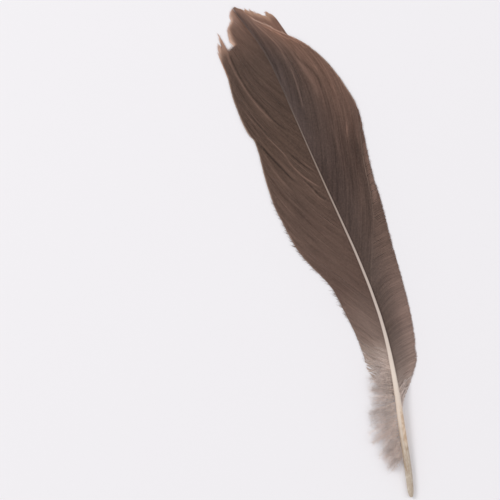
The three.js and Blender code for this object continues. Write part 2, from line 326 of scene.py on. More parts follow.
# Long features that run with the barbs, as [points, half width, strength]: over 0 is pale, under 0 dark.
# They are partly the vane's own pale and dark streaks and partly painted light: painted shade in the splits,
# creases and along the parting line, and painted highlights on the raised edges of clumps.
LINES = {
    -1: [
        ([(-7.2, 167.6), (-7.39, 162.75), (-7.04, 158.29), (-5.59, 151.47), (-3.67, 144.86), (-2.03, 140.72), (-0.48, 137.41)], 0.42, 0.75),
        ([(-6.5, 166.5), (-6.66, 163.67), (-6.31, 159.21), (-5.31, 153.33), (-4.09, 148.56), (-2.06, 143.88), (0.12, 137.97), (3.37, 132.85)], 0.30, -0.95),
        ([(-8.47, 134.57), (-7.16, 131.26), (-5.31, 126.81), (-2.59, 120.46), (-0.39, 115.25)], 0.34, -1.0),
        ([(-8.6, 136.5), (-6.3, 131.9), (-4.3, 127.0), (-1.7, 121.0), (0.5, 115.8)], 0.6, 0.30),
        ([(-4.9, 134.85), (-3.04, 131.33), (-0.92, 126.78), (-0.16, 123.67), (0.7, 120.84), (2.47, 117.05), (4.81, 113.99), (7.44, 110.83)], 0.20, 0.9),
        ([(0.5, 127.21), (3.25, 121.8), (5.95, 117.98), (7.67, 115.78)], 0.22, -0.8),
        ([(3.6, 123.2), (5.45, 119.7), (7.4, 116.8)], 0.20, 0.7),
        ([(2.26, 116.49), (4.13, 112.98), (5.7, 108.63), (7.69, 106.33)], 0.26, -0.9),
        ([(1.7, 116.3), (3.6, 112.6), (5.3, 108.2), (7.4, 105.6)], 0.22, 0.6),
        ([(-7.56, 130.15), (-6.58, 125.06), (-5.07, 118.85), (-2.79, 112.98), (-2.01, 110.81)], 0.5, 0.35),
        ([(-6.9, 131.2), (-5.9, 125.8), (-4.3, 119.6), (-2.0, 113.6), (-1.0, 111.0)], 0.35, -0.4),
        ([(-9.4, 151.0), (-7.6, 143.9), (-5.0, 137.6), (-2.4, 132.3)], 0.30, -0.55),
        ([(-8.9, 147.5), (-7.2, 141.0), (-4.2, 134.6)], 0.30, 0.40),
    ],
    1: [
        ([(10.24, 161.44), (10.75, 158.51), (11.09, 154.05), (11.63, 152.28), (11.59, 146.78), (11.21, 141.41), (10.93, 137.0)], 0.28, 0.95),
        ([(4.5, 173.77), (7.5, 167.95), (9.49, 163.69), (11.13, 159.55)], 0.26, 0.8),
        ([(14.79, 160.97), (14.79, 156.64), (16.9, 152.72), (18.58, 149.75), (19.43, 146.68), (19.08, 142.48)], 0.34, -0.75),
        ([(15.06, 160.08), (15.45, 155.22), (16.24, 149.81), (17.41, 145.45), (17.28, 140.78)], 0.75, 0.40),
        ([(18.83, 152.61), (20.33, 149.7)], 0.25, 0.6),
        ([(22.35, 144.44), (23.34, 140.14)], 0.25, 0.55),
        ([(23.1, 129.6), (22.89, 128.1), (21.9, 125.6), (21.28, 123.9)], 0.34, 1.3),
        ([(17.0, 88.5), (19.6, 94.2), (20.3, 97.7), (21.1, 101.2), (22.0, 104.5), (22.5, 108.0), (22.8, 111.6), (23.4, 115.3),
          (24.3, 119.0), (25.4, 123.5)], 1.4, -0.40),
        ([(18.6, 93.0), (19.9, 97.7), (20.7, 101.2), (21.6, 104.5)], 1.2, -0.16),
        ([(21.2, 97.7), (22.0, 101.2), (22.8, 104.5), (23.3, 108.0), (23.7, 111.6), (24.3, 115.3), (25.1, 119.0), (26.3, 123.5)], 0.28, -0.32),
        ([(22.8, 99.5), (24.0, 103.4), (24.8, 108.0), (25.2, 111.6), (25.7, 115.3), (26.4, 119.0), (27.1, 122.2)], 0.95, 0.66),
        ([(25.9, 113.4), (26.2, 115.3), (26.8, 118.2), (27.3, 121.2)], 0.60, 0.30),
        ([(27.2, 118.6), (27.6, 121.4)], 0.35, 0.6),
        ([(25.3, 106.4), (25.7, 108.9)], 0.40, 1.3),
        ([(21.0, 134.0), (20.4, 124.0), (18.6, 112.0), (16.6, 103.0)], 0.45, -0.35),
        ([(18.2, 132.0), (17.6, 122.0), (16.1, 111.0)], 0.35, 0.30),
    ],
}


def flow(side, roots, field):
    """Barb paths: streamlines of the heading field, from the shaft to past the margin."""
    a = slope_heading(roots)
    off = shaft_w(roots) * 0.5 * 0.55
    x = shaft_x(roots) + side * off * np.cos(a)
    y = roots - side * off * np.sin(a)
    step = 0.4
    path = [np.stack([x, y], -1)]

    def head(x, y):
        q = np.clip(share(x, y, side), 0, 1)
        hs = np.stack([f(y) for f in field], -1)
        i = np.clip(np.searchsorted(SHARES, q, side="right") - 1, 0, 2)
        t = (q - SHARES[i]) / (SHARES[i + 1] - SHARES[i])
        rows = np.arange(len(q))
        return np.radians(hs[rows, i] * (1 - t) + hs[rows, i + 1] * t)

    for _ in range(230):
        h = head(x, y)
        mx, my = x + 0.5 * step * np.sin(h), y + 0.5 * step * np.cos(h)
        h = head(mx, my)
        x, y = x + step * np.sin(h), y + step * np.cos(h)
        path.append(np.stack([x, y], -1))
    return np.stack(path, 1), step


def sectioned(p, half, thick, lift, side, layer=None, ragged=0.0):
    """Barbs with a six-sided section: two flaps, the barb's own ridge and a keel below. The sections
    are cut off at the margin of their layer."""
    tang = tangents(p)
    across = np.stack([tang[..., 1], -tang[..., 0]], -1)
    xy = p[:, :, None, :] + across[:, :, None, :] * (half[..., None] * SECTION[:, 0])[..., None]
    if layer:
        limit = margin_of(xy[..., 1], layer) + side * ragged
        over = side * (xy[..., 0] - limit)
        xy[..., 0] = np.where((over > 0) & (over < 0.9), limit, xy[..., 0])
    tilt = -0.10 * SECTION[:, 0] * half[..., None]       # each barb laps a little over the next
    z = vane_z(xy[..., 0], xy[..., 1], side) + lift[..., None] + tilt + thick[..., None] * SECTION[:, 1]
    rings = np.concatenate([xy, np.maximum(z, 0.03)[..., None]], -1)
    return rings[:, :, ::-1, :]


def streaks_and_painted_light(rings, side, strength=1.0):
    out = np.zeros(rings.shape[:-1])
    for line, width, value in LINES[side]:
        out += strength * value * near(rings[..., :2], line, width)
    return out


def vane(pile, side, first, last, seed, table, layer, under=0.0, splits=(), strays=14, pitch=0.27, m=37):
    """One layer of barbs, from the shaft to the margin of the layer."""
    r = np.random.default_rng(seed)
    field = [Curve([[row[0], row[k + 1]] for row in table]) for k in range(4)]
    roots = [first]
    while roots[-1] < last:
        y = np.array(roots[-1])
        rel = abs(float(field[0](y)) - math.degrees(float(slope_heading(y))))
        roots.append(roots[-1] + float(np.clip(pitch / math.sin(math.radians(max(rel, 14))), 0.30, 0.66)))
    roots = np.array(roots)
    n = len(roots)
    path, step = flow(side, roots, field)
    over = side * (path[..., 0] - margin_of(path[..., 1], layer))
    out = (over >= 0) | (path[..., 1] > 180.0)
    stop = np.where(out.any(1), out.argmax(1), path.shape[1] - 1)
    length, end_y, extra = np.zeros(n), np.zeros(n), np.zeros(n)
    for i in range(n):
        j = max(stop[i], 1)
        o0, o1 = over[i, j - 1], over[i, j]
        f = np.clip(-o0 / (o1 - o0), 0, 1) if o1 > max(o0, 0) else 1.0
        length[i] = (j - 1 + f) * step
        end_y[i] = path[i, j, 1]
        d = path[i, j] - path[i, j - 1]
        slope = float(margin_of(end_y[i] + 0.5, layer) - margin_of(end_y[i] - 0.5, layer))
        angle = abs(math.atan2(d[0], d[1]) - math.atan2(slope, 1.0))
        extra[i] = np.clip(0.28 / max(math.tan(min(angle, 1.4)), 0.15), 0.1, 1.9) * np.interp(end_y[i], [172, 177], [1.0, 0.0])
    # clumps: runs of barbs that hook together and move as one
    clump = np.zeros(n, int)
    k, left = 0, int(r.integers(5, 12))
    marks = [s["root"] for s in splits]
    for i in range(n):
        crossed = any(roots[i - 1] < s <= roots[i] for s in marks) if i else False
        if left == 0 or crossed:
            k, left = k + 1, int(r.integers(4, 16))
        clump[i] = k
        left -= 1
    kk = clump.max() + 1
    c_high, c_tone, c_len, c_bend = (r.normal(size=kk) for _ in range(4))
    c_phase = r.uniform(0, 6.28, kk)
    b_tone, b_len, b_odd = r.normal(size=n), r.normal(size=n), r.normal(size=n)
    # ragged ends: hardly any along the sides, more at the frayed tip, long and loose at the base
    fray = np.interp(end_y, [30, 60, 120, 150, 160, 166, 176, 179], [0.30, 0.05, 0.03, 0.06, 0.16, 0.42, 0.36, 0.15])
    length = length + extra + fray * (0.6 * c_len[clump] + 0.6 * b_len)
    loose = np.zeros(n)
    if layer == "strip":
        loose = np.interp(roots, [30, 37, 43, 49], [1.0, 0.75, 0.25, 0.0])
        length += np.interp(roots, [30, 38, 46, 52], [4.2, 4.0, 1.6, 0.0]) * r.uniform(0.2, 1.0, n)
        # small teeth at the end of the strip beside the split
        for tooth_y, deep, wide in ((170.9, 2.0, 0.6), (167.6, 1.9, 0.55), (164.0, 1.6, 0.5), (160.9, 0.8, 0.4), (158.6, 0.5, 0.35)):
            length -= deep * np.exp(-(((end_y - tooth_y) / wide) ** 2))
        length += np.interp(roots, [125.5, 127.4], [0.0, 1.0])
    if layer == "lower":
        loose = np.interp(roots, [30, 33, 38], [0.6, 0.35, 0.0])
    length = np.maximum(length, 1.6)
    p, t = resample(path, length, m, 0.92)
    s = t[None, :] * length[:, None]

    tang = tangents(p)
    outward = np.stack([-tang[..., 1], tang[..., 0]], -1) * (1 if side < 0 else -1)
    sway = (c_bend[clump][:, None] * 0.09 * np.sin(t[None, :] * 2.6 + c_phase[clump][:, None])
            + 0.022 * b_tone[:, None] * np.sin(t[None, :] * 5 + 6 * b_len[:, None]))
    sway = sway + loose[:, None] * t[None, :] * (0.35 * np.sin(s * 1.1 + 6 * b_tone[:, None]) + 0.45 * b_odd[:, None])
    sway = sway * np.clip(s / 6, 0, 1)
    drop = np.full((n, m), under)
    for sp in splits:
        ramp = np.clip((t - sp["from"]) / (1 - sp["from"]), 0, 1)
        opened = sp["wide"] * ramp ** sp["power"] + sp["line"] * np.clip(ramp * 6, 0, 1)
        below = roots < sp["root"]
        gap = np.abs(roots - sp["root"])
        w = np.exp(-gap / sp["reach"])
        sway = sway + np.where(below, sp["low"] * w, -(1 - sp["low"]) * w)[:, None] * opened[None, :]
        drop -= sp["drop"] * np.where(below, 0, np.exp(-gap / 1.0))[:, None] * np.clip(ramp * 4, 0, 1)[None, :]
    p = p + outward * sway[..., None]

    # half width at each station: half the way to the next barb, and some more so that they lap
    fine, _ = resample(p, np.linalg.norm(np.diff(p, axis=1), axis=2).sum(1), 4 * m, 0.92)
    gaps = np.full((2, n, m), np.nan)
    for way, d in enumerate((1, -1)):
        for i in range(n):
            j = i + d
            if 0 <= j < n:
                gaps[way, i] = np.sqrt(((p[i][:, None] - fine[j][None]) ** 2).sum(-1).min(1))
    half = np.clip(np.nanmean(gaps, axis=0) * 0.62, 0.045, 0.45)
    tipping = np.clip((length[:, None] - s) / np.clip(0.6 + 2.2 * fray, 0.5, 1.3)[:, None], 0.0, 1)
    half *= 0.14 + 0.86 * tipping**0.7
    half *= 1 - loose[:, None] * (0.10 + 0.45 * np.clip(t * 1.6, 0, 1)[None, :])
    border = np.zeros(n, bool)
    border[1:] |= clump[1:] != clump[:-1]
    half[border] *= 1 - 0.14 * np.clip((t - 0.25) / 0.75, 0, 1)[None, :]
    thick = np.interp(t, [0, 0.15, 0.6, 1], [0.15, 0.12, 0.085, 0.04])[None, :] * np.ones((n, 1))
    lift = (0.04 * c_high[clump][:, None] + 0.025 * smooth_noise(n, 3, seed + 5)[:, None]) * np.clip(s / 5, 0, 1) + drop
    lift = lift + loose[:, None] * t[None, :] * (0.25 * np.abs(b_tone)[:, None])
    rag = (fray * 1.2 * np.abs(b_len) + 0.02 * np.abs(b_odd) + 3.0 * loose)[:, None, None]
    rings = sectioned(p, half, thick, lift, side, layer, rag)

    def common(rings, s, length):
        return dict(along=rings[..., 1] / 180.0, share=np.clip(share(rings[..., 0], rings[..., 1], side), 0, 1.05),
                    edge=np.clip(side * (margin_of(rings[..., 1], layer) - rings[..., 0]), 0, 20),
                    left=np.clip(length[:, None] - s, 0, 20), run=s)

    lane = -side * 0.45 * SECTION[::-1, 0][None, None, :]
    pile.add(rings, **common(rings, s, length), barb=np.arange(n)[:, None, None] + lane,
             tone=b_tone[:, None] + c_tone[clump][:, None], mark=streaks_and_painted_light(rings, side),
             loose=loose[:, None] * np.clip(0.35 + t, 0, 1)[None, :], warm=np.zeros((n, m)))

    # stray barbs that have come unhooked and lie across their neighbours
    if strays:
        pick = r.choice(np.arange(int(n * 0.10), int(n * 0.93)), strays, replace=False)
        bow = r.uniform(0.2, 0.8, strays) * r.choice([-1, 1], strays)
        bend = np.sin(np.pi * np.clip((t - 0.15) / 0.80, 0, 1)) ** 1.3
        path_ = p[pick] + outward[pick] * (bow[:, None] * bend[None, :])[..., None]
        wide = np.interp(t, [0, 0.7, 1], [0.055, 0.045, 0.02])[None, :] * np.ones((strays, 1))
        rings = sectioned(path_, wide, thick[pick] * 0.8, 0.06 + 0.05 * bend[None, :] + lift[pick], side, layer, 0.02)
        pile.add(rings, **common(rings, s[pick], length[pick]), barb=(pick * 1.0 + 0.37)[:, None],
                 tone=1.2 + b_tone[pick][:, None], mark=0.42 * bend[None, :] * np.sign(bow + 0.35)[:, None] * np.ones((strays, m)),
                 loose=np.zeros((strays, m)), warm=np.zeros((strays, m)))


def short_barbs(pile, start, end, seed, z_shift, half, tone_base, warm, m, first):
    """Barbs that come out from under the layer above: start and end are (n, 2) points."""
    r = np.random.default_rng(seed)
    n = len(start)
    t = np.linspace(0, 1, m)
    d = end - start
    p = start[:, None, :] + d[:, None, :] * t[None, :, None]
    normal = np.stack([-d[:, 1], d[:, 0]], -1) / np.linalg.norm(d, axis=1)[:, None]
    bow = 0.10 * np.sin(np.pi * t)[None, :] * r.normal(size=(n, 1)) + 0.05 * np.sin(t * 7 + 6 * r.uniform(size=(n, 1)))
    p = p + normal[:, None, :] * bow[..., None]
    length = np.linalg.norm(np.diff(p, axis=1), axis=2).sum(1)
    s = t[None, :] * length[:, None]
    wide = half[:, None] * (0.2 + 0.8 * np.clip((length[:, None] - s) / 1.1, 0, 1) ** 0.7)
    thick = np.interp(t, [0, 0.5, 1], [0.09, 0.08, 0.035])[None, :] * np.ones((n, 1))
    lift = z_shift + 0.025 * r.normal(size=(n, 1)) + np.zeros((n, m))
    rings = sectioned(p, wide, thick, lift, 1)
    pile.add(rings, along=rings[..., 1] / 180.0, share=np.clip(share(rings[..., 0], rings[..., 1], 1), 0, 1.05),
             edge=np.clip(margin_of(rings[..., 1], "lower") - rings[..., 0], 0, 20),
             left=np.clip(length[:, None] - s, 0, 20), run=s,
             barb=(first + np.arange(n))[:, None, None] - 0.45 * SECTION[::-1, 0][None, None, :],
             tone=tone_base + r.normal(size=(n, 1)), mark=streaks_and_painted_light(rings, 1), loose=np.zeros((n, m)), warm=np.full((n, m), warm))


def outer_extras(pile):
    """Two sets of barbs under the top layer of the outer vane: along its lower margin and at its tip."""
    r = np.random.default_rng(77)
    # outside the parting line the barbs run almost straight out
    ys = np.arange(75.0, 131.2, 0.29)
    line = np.interp(ys, PARTING[:, 1], PARTING[:, 0])
    start = np.stack([np.maximum(line - 2.4, shaft_x(ys) + 0.4), ys - 0.3], -1)
    rise = np.interp(ys, [75, 95, 128], [0.10, 0.16, 0.45])
    edge = EDGE[1](ys + rise * 3)
    end = np.stack([edge + 0.04 * r.normal(size=len(ys)) + 0.02, ys + rise * (edge - start[:, 0])], -1)
    short_barbs(pile, start, end, 78, -0.13, np.full(len(ys), 0.23), 0.0, 0.0, 13, 400.0)
    # the tooth and the frayed crest: barbs that leave the margin from below
    n = 62
    right = Curve([[152.0, 20.2], [156.0, 18.5], [160.0, 16.75], [165.0, 14.35], [168.6, 13.5], [171.8, 12.5], [174.0, 11.3], [175.4, 10.4]])
    leftc = Curve([[158.0, 8.5], [163.0, 7.6], [168.0, 6.2], [172.0, 4.6], [175.0, 3.3], [178.4, 1.6]])
    f = np.linspace(0, 1, n)
    top = np.interp(f, [0, 0.03, 0.10, 0.17, 0.24, 0.29, 0.34, 0.45, 0.60, 0.78, 1],
                    [173.9, 174.7, 175.1, 174.8, 174.0, 173.7, 174.7, 175.6, 176.9, 178.2, 178.9])
    spikes = (0.85 * np.exp(-(((f - 0.50) / 0.016) ** 2)) + 0.75 * np.exp(-(((f - 0.63) / 0.018) ** 2))
              + 0.6 * np.exp(-(((f - 0.76) / 0.014) ** 2)) + 0.5 * np.exp(-(((f - 0.40) / 0.012) ** 2))
              - 0.45 * np.clip(np.sin(f * 38.0 + 1.0), 0, 1) ** 2)
    top = top + spikes + r.normal(size=n) * 0.20
    m = 26
    y = 158.0 + (top[:, None] - 158.0) * np.linspace(0, 1, m)[None, :]
    x = right(y) * (1 - f[:, None]) + leftc(y) * f[:, None] + 0.05 * np.sin(y * 0.8 + 6 * r.uniform(size=(n, 1)))
    p = np.stack([x, y], -1)
    length = np.linalg.norm(np.diff(p, axis=1), axis=2).sum(1)
    s = np.linspace(0, 1, m)[None, :] * length[:, None]
    half = np.full((n, m), 0.115) * (0.2 + 0.8 * np.clip((length[:, None] - s) / 1.2, 0, 1) ** 0.7)
    thick = np.interp(np.linspace(0, 1, m), [0, 0.5, 1], [0.09, 0.08, 0.035])[None, :] * np.ones((n, 1))
    rings = sectioned(p, half, thick, -0.15 + 0.02 * r.normal(size=(n, 1)) + np.zeros((n, m)), 1)
    rings[..., 2] = np.maximum(rings[..., 2], 0.05)
    pile.add(rings, along=rings[..., 1] / 180.0, share=np.full((n, m), 0.97), edge=np.full((n, m), 5.0),
             left=np.clip(length[:, None] - s, 0, 20), run=s, barb=(1000.0 + np.arange(n))[:, None],
             tone=r.normal(size=(n, 1)), mark=np.zeros((n, m)), loose=np.zeros((n, m)), warm=np.full((n, m), 0.55))


def hairs_along(pile, side, start, mid, end, seed, half, z_up, strength, first, m=12):
    """Fine single barbs that lie on top, as curves through three points each, (n, 2)."""
    r = np.random.default_rng(seed)
    n = len(start)
    t = np.linspace(0, 1, m)[None, :, None]
    p = (1 - t) ** 2 * start[:, None] + 2 * (1 - t) * t * mid[:, None] + t**2 * end[:, None]
    length = np.linalg.norm(np.diff(p, axis=1), axis=2).sum(1)
    s = t[..., 0] * length[:, None]
    wide = half * (0.25 + 0.75 * np.clip((length[:, None] - s) / (0.4 * length[:, None]), 0, 1))
    thick = np.full((n, m), 0.035)
    rings = sectioned(p, wide, thick, z_up + 0.03 * r.uniform(size=(n, 1)) + np.zeros((n, m)), side)
    pile.add(rings, along=rings[..., 1] / 180.0, share=np.clip(share(rings[..., 0], rings[..., 1], side), 0, 1.05),
             edge=np.full((n, m), 5.0), left=np.full((n, m), 10.0), run=s, barb=(first + np.arange(n))[:, None],
             tone=r.normal(size=(n, 1)), mark=strength * (0.6 + 0.8 * r.uniform(size=(n, 1))) * np.ones((n, m)),
             loose=np.zeros((n, m)), warm=np.zeros((n, m)))


def crest_hairs(pile):
    r = np.random.default_rng(55)
    n = 30
    low = r.uniform(158.0, 168.5, n)
    run = r.uniform(3.0, 8.5, n)
    inward = r.uniform(0.05, 1.0, n) ** 1.5 * 3.0
    x0 = margin_of(low, "upper") - inward
    x1 = margin_of(np.minimum(low + run, 177.5), "upper") - inward * r.uniform(0.3, 0.9, n) + 0.25 * r.normal(size=n)
    start, end = np.stack([x0, low], -1), np.stack([x1, np.minimum(low + run, 177.8)], -1)
    mid = (start + end) / 2 + np.stack([0.35 + 0.25 * r.normal(size=n), 0.3 + 0.2 * r.normal(size=n)], -1)
    hairs_along(pile, 1, start, mid, end, 56, 0.055, 0.10, 1.1, 1200.0)


def worn_margin(pile):
    r = np.random.default_rng(61)
    n = 64
    y = np.concatenate([r.uniform(48.0, 104.0, 34), r.uniform(104.0, 150.0, 30)])
    rise = np.interp(y, [48, 80, 104, 125, 150], [0.45, 0.6, 1.5, 2.3, 1.4]) * r.uniform(0.7, 1.2, n)
    out = r.uniform(0.0, 1.0, n) ** 2.2 * np.interp(y, [48, 60, 96, 106, 122, 150], [0.20, 0.32, 0.38, 0.50, 0.40, 0.30]) - 0.12
    start = np.stack([EDGE[1](y) - r.uniform(0.25, 0.6, n), y], -1)
    end = np.stack([EDGE[1](y + rise) + out, y + rise], -1)
    mid = (start + end) / 2 + np.stack([0.06 * np.ones(n), np.zeros(n)], -1)
    hairs_along(pile, 1, start, mid, end, 62, 0.055, 0.02, 1.2, 1400.0, 6)


def margin_fringe(pile):
    r = np.random.default_rng(57)
    n = 210
    y = 64.0 + 50.0 * r.uniform(size=n) ** 1.15
    x = EDGE[-1](y) + r.uniform(0.2, 1.2, n)
    out = r.uniform(0.5, 1.7, n) * np.interp(y, [64, 74, 100, 114], [0.5, 1.0, 1.0, 0.4])
    a = np.radians(np.interp(y, [64, 90, 114], [52, 50, 34]) + 11 * r.normal(size=n))
    start = np.stack([x, y], -1)
    end = start + np.stack([-np.sin(a), np.cos(a)], -1) * (out + 0.9)[:, None]
    mid = (start + end) / 2 + 0.12 * r.normal(size=(n, 2))
    hairs_along(pile, -1, start, mid, end, 58, 0.04, 0.03, 0.55, 1300.0, 7)


# ------------------------------------------------------------------ node materials
def srgb(r, g, b):
    return tuple((c / 255 / 12.92) if c / 255 <= 0.04045 else ((c / 255 + 0.055) / 1.055) ** 2.4 for c in (r, g, b)) + (1.0,)


class Nodes:
    def __init__(self, name):
        self.mat = bpy.data.materials.new(name)
        self.mat.use_nodes = True
        self.tree = self.mat.node_tree
        self.tree.nodes.clear()
        self.out = self.tree.nodes.new("ShaderNodeOutputMaterial")

    def add(self, kind, **values):
        node = self.tree.nodes.new(kind)
        for key, value in values.items():
            if hasattr(node, key) and key not in node.inputs:
                setattr(node, key, value)
            else:
                self.put(node, key, value)
        return node

    def put(self, node, key, value):
        socket = node.inputs[key]
        if isinstance(value, bpy.types.NodeSocket):
            self.tree.links.new(value, socket)
        else:
            socket.default_value = value

    def attr(self, name):
        return self.add("ShaderNodeAttribute", attribute_name=name).outputs["Fac"]

    def math(self, op, a, b=0.0, clamp=False):
        node = self.add("ShaderNodeMath", operation=op, use_clamp=clamp)
        self.put(node, 0, a)
        self.put(node, 1, b)
        return node.outputs[0]

    def ramp(self, fac, stops, mode="LINEAR"):
        node = self.add("ShaderNodeValToRGB")
        node.color_ramp.interpolation = mode
        e = node.color_ramp.elements
        while len(e) < len(stops):
            e.new(0.5)
        for element, (place, colour) in zip(e, sorted(stops, key=lambda s: s[0])):
            element.position = place
            element.color = colour
        self.put(node, "Fac", fac)
        return node.outputs["Color"]

    def span(self, value, a, b, c=0.0, d=1.0):
        node = self.add("ShaderNodeMapRange", interpolation_type="SMOOTHSTEP")
        for i, v in enumerate((value, a, b, c, d)):
            self.put(node, i, v)
        return node.outputs[0]

    def mix(self, fac, a, b, blend="MIX"):
        node = self.add("ShaderNodeMix", data_type="RGBA", blend_type=blend)
        self.put(node, 0, fac)
        self.put(node, 6, a)
        self.put(node, 7, b)
        return node.outputs[2]

    def noise(self, vector, scale, detail=2.0, rough=0.5):
        node = self.add("ShaderNodeTexNoise", Scale=scale, Detail=detail, Roughness=rough)
        self.put(node, "Vector", vector)
        return node.outputs["Fac"]

    def vec(self, x, y, z=0.0):
        node = self.add("ShaderNodeCombineXYZ")
        for i, v in enumerate((x, y, z)):
            self.put(node, i, v)
        return node.outputs[0]

    def bump(self, height, strength, distance):
        node = self.add("ShaderNodeBump", Strength=strength, Distance=distance)
        self.put(node, "Height", height)
        return node.outputs["Normal"]

    def principled(self, colour, rough, **more):
        node = self.add("ShaderNodeBsdfPrincipled")
        self.put(node, "Base Color", colour)
        self.put(node, "Roughness", rough)
        for key, value in more.items():
            self.put(node, key.replace("_", " "), value)
        self.tree.links.new(node.outputs[0], self.out.inputs["Surface"])
        return node


def stops(*rows):
    return [(y / 180.0, srgb(*rgb)) for y, rgb in rows]


def at(y):
    return y / 180.0


def vane_material(side):
    g = Nodes("inner_vane_barbs" if side < 0 else "outer_vane_barbs")
    along, part, run, left = g.attr("along"), g.attr("share"), g.attr("run"), g.attr("left")
    barb, own, mark, loose, warm = (g.attr(k) for k in ("barb", "tone", "mark", "loose", "warm"))
    edge = g.attr("edge")
    if side < 0:
        # white foot, brown body, bleached tip
        base = g.ramp(along, stops((45, (197, 179, 169)), (56, (138, 118, 109)), (75, (111, 89, 80)), (130, (95, 75, 65)),
                                   (160, (95, 76, 67)), (173, (126, 99, 87)), (179, (170, 138, 124))))
    else:
        inside = g.ramp(along, stops((34, (190, 174, 166)), (44, (138, 121, 113)), (58, (104, 88, 81)), (112, (80, 64, 59)),
                                     (156, (88, 73, 67)), (166, (117, 95, 86)), (178, (146, 118, 106))))
        outside = g.ramp(along, stops((34, (196, 178, 170)), (43, (155, 134, 125)), (59, (140, 117, 108)), (84, (110, 89, 80)),
                                      (119, (90, 70, 62)), (144, (117, 90, 78)), (172, (127, 97, 83)), (178, (158, 126, 112))))
        base = g.mix(g.span(part, 0.18, 0.85), inside, outside)
        # painted sheen: a pale grey-violet sheen beside the rachis over the middle of the outer vane
        base = g.mix(g.math("MULTIPLY", g.span(part, 0.24, 0.02), g.span(along, at(108), at(145), 0.0, 0.48)), base, srgb(114, 98, 95))
    # streaks that run with the barbs: across whole clumps, across a few barbs, barb by barb
    def streak(per_barb, per_mm, seed, detail):
        return g.noise(g.vec(g.math("MULTIPLY", barb, per_barb), g.math("MULTIPLY", run, per_mm), seed), 1.0, detail, 0.55)

    calm = g.span(along, at(72), at(104), 0.5, 1.0)
    broad = g.math("SUBTRACT", streak(0.11, 0.035, 3.0 + side, 2.0), 0.5)
    middle = g.math("SUBTRACT", streak(0.33, 0.06, 9.0 + side, 1.0), 0.5)
    thin = g.math("SUBTRACT", streak(1.35, 0.10, 15.0 + side, 1.0), 0.5)
    hair = streak(2.3, 0.045, 21.0 + side, 1.0)
    tone = g.math("ADD", g.math("MULTIPLY", broad, 0.55), g.math("MULTIPLY", middle, 0.62))
    tone = g.math("MULTIPLY", tone, calm)
    tone = g.math("ADD", tone, g.math("MULTIPLY", thin, 0.62))
    tone = g.math("ADD", tone, g.span(hair, 0.60, 0.76, 0.0, 0.34))
    tone = g.math("ADD", tone, g.span(hair, 0.40, 0.26, 0.0, -0.22))
    tone = g.math("ADD", tone, g.math("MULTIPLY", own, 0.022))
    place = g.add("ShaderNodeTexCoord").outputs["Object"]
    grain = g.math("SUBTRACT", g.noise(place, 1900.0, 3.0, 0.65), 0.5)
    tone = g.math("ADD", tone, g.math("MULTIPLY", grain, 0.50))
    # pale and dark lines along the barbs: partly their own streaks, partly painted shade in splits and creases and
    # painted highlights on raised clump edges
    tone = g.math("ADD", tone, g.math("MULTIPLY", g.math("MAXIMUM", mark, 0.0), 0.95))
    tone = g.math("ADD", tone, g.math("MULTIPLY", g.math("MINIMUM", mark, 0.0), 0.52))
    value = g.math("MAXIMUM", g.math("ADD", 1.0, tone), 0.3)
    colour = g.mix(1.0, base, g.vec(value, value, value), "MULTIPLY")
    # loose, downy barbs at the base
    colour = g.mix(g.math("MINIMUM", g.math("MULTIPLY", loose, 1.5), 0.92), colour, srgb(208, 191, 181))
    # worn barb ends, warmer where the tip is frayed, and a paler rim along the margins: a painted highlight on the lit
    # edge of the inner margin, pale frayed barb ends on the outer margin
    worn = g.math("MULTIPLY", g.span(left, 1.0, 0.0), g.span(along, at(138), at(172), 0.15, 0.85))
    if side < 0:
        # painted highlight along the lit edge of the inner margin
        rim_highlight_and_wear = g.math("MULTIPLY", g.span(edge, 0.42, 0.12), g.span(along, at(70), at(108), 0.25, 0.95))
        worn = g.math("MULTIPLY", worn, g.span(along, at(156), at(166)))
        tip = g.math("MULTIPLY", g.span(part, 0.66, 0.76, 0.0, 0.85), g.span(along, at(164.0), at(169.5)))
        faded = g.math("MULTIPLY", g.span(edge, 2.0, 0.3, 0.0, 0.9), g.span(along, at(162.5), at(168.5)))
        faded = g.math("MAXIMUM", faded, tip)
        patchy = g.noise(g.vec(g.math("MULTIPLY", barb, 0.5), g.math("MULTIPLY", along, 60.0), 8.0), 1.0, 2.0, 0.6)
        faded = g.math("MULTIPLY", faded, g.span(patchy, 0.25, 0.55, 0.45, 1.0))
    else:
        rim_highlight_and_wear = g.math("MULTIPLY", g.span(edge, 0.50, 0.10), g.span(along, at(100), at(166), 0.15, 0.95))
    broken = g.noise(g.vec(g.math("MULTIPLY", barb, 0.8), g.math("MULTIPLY", along, 90.0), 2.0), 1.0, 2.0, 0.6)
    rim_highlight_and_wear = g.math("MULTIPLY", rim_highlight_and_wear, g.span(broken, 0.28, 0.52, 0.35, 1.0))
    colour = g.mix(rim_highlight_and_wear, colour, g.mix(g.span(along, at(150), at(168)), srgb(168, 144, 130), srgb(180, 142, 122)))
    colour = g.mix(worn, colour, srgb(160, 122, 103))
    if side < 0:
        colour = g.mix(faded, colour, g.mix(g.span(edge, 1.3, 0.3), srgb(190, 153, 134), srgb(226, 193, 175)))
    else:
        crest = g.math("MULTIPLY", g.span(along, at(162.0), at(164.5)), g.span(along, at(176.0), at(173.0)))
        colour = g.mix(g.math("MULTIPLY", crest, rim_highlight_and_wear), colour, srgb(226, 196, 180))
    colour = g.mix(warm, colour, g.mix(g.span(left, 0.0, 4.0), srgb(220, 181, 155), srgb(138, 105, 92)))
    speck = g.noise(place, 1500.0, 2.0, 0.6)
    colour = g.mix(g.span(speck, 0.4, 0.75, 0, 0.14), colour, srgb(150, 124, 108))
    rough = g.span(thin, -0.2, 0.2, 0.60, 0.76)
    hatch = g.noise(g.vec(g.math("MULTIPLY", run, 7.0), g.math("MULTIPLY", barb, 1.7), 0.0), 1.0, 1.0, 0.5)
    g.principled(colour, rough, Specular_IOR_Level=0.18, Sheen_Weight=0.03, Sheen_Roughness=0.5,
                 Normal=g.bump(hatch, 0.25, 0.00005))
    return g.mat


